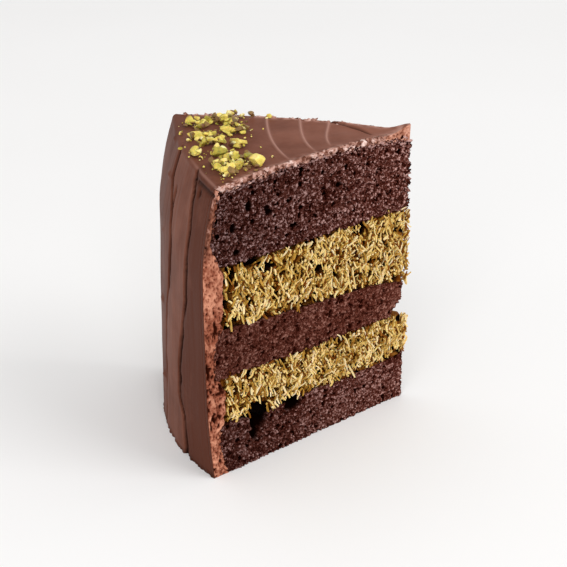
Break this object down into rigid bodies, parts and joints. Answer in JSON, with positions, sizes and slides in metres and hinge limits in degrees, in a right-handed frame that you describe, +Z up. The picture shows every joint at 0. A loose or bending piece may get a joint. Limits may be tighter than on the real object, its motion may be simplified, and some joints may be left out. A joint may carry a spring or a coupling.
{
  "type": "slice of chocolate cake",
  "caption": "Slice of tall chocolate layer cake with shredded pastry and pistachio cream fillings, chocolate frosting and chopped pistachios on top.",
  "frame": {"origin": "middle of the flat underside, 51.5 mm back from the tip", "axes": "+Z up, +X towards the slice's tip, -Y out of the cut that the picture shows"},
  "size_m": [0.1046, 0.0957, 0.1247],
  "materials": {
    "sponge": "dark crumbly chocolate sponge",
    "filling": "toasted shredded pastry in pistachio cream",
    "frosting": "chocolate frosting spread with a spatula, satin",
    "pistachio": "chopped pistachio kernels"
  },
  "bodies": {
    "root": {"sponge_bottom": "sponge", "sponge_middle": "sponge", "sponge_top": "sponge", "filling_lower": "filling", "filling_upper": "filling", "frosting": "frosting"}
  },
  "joints": []
}
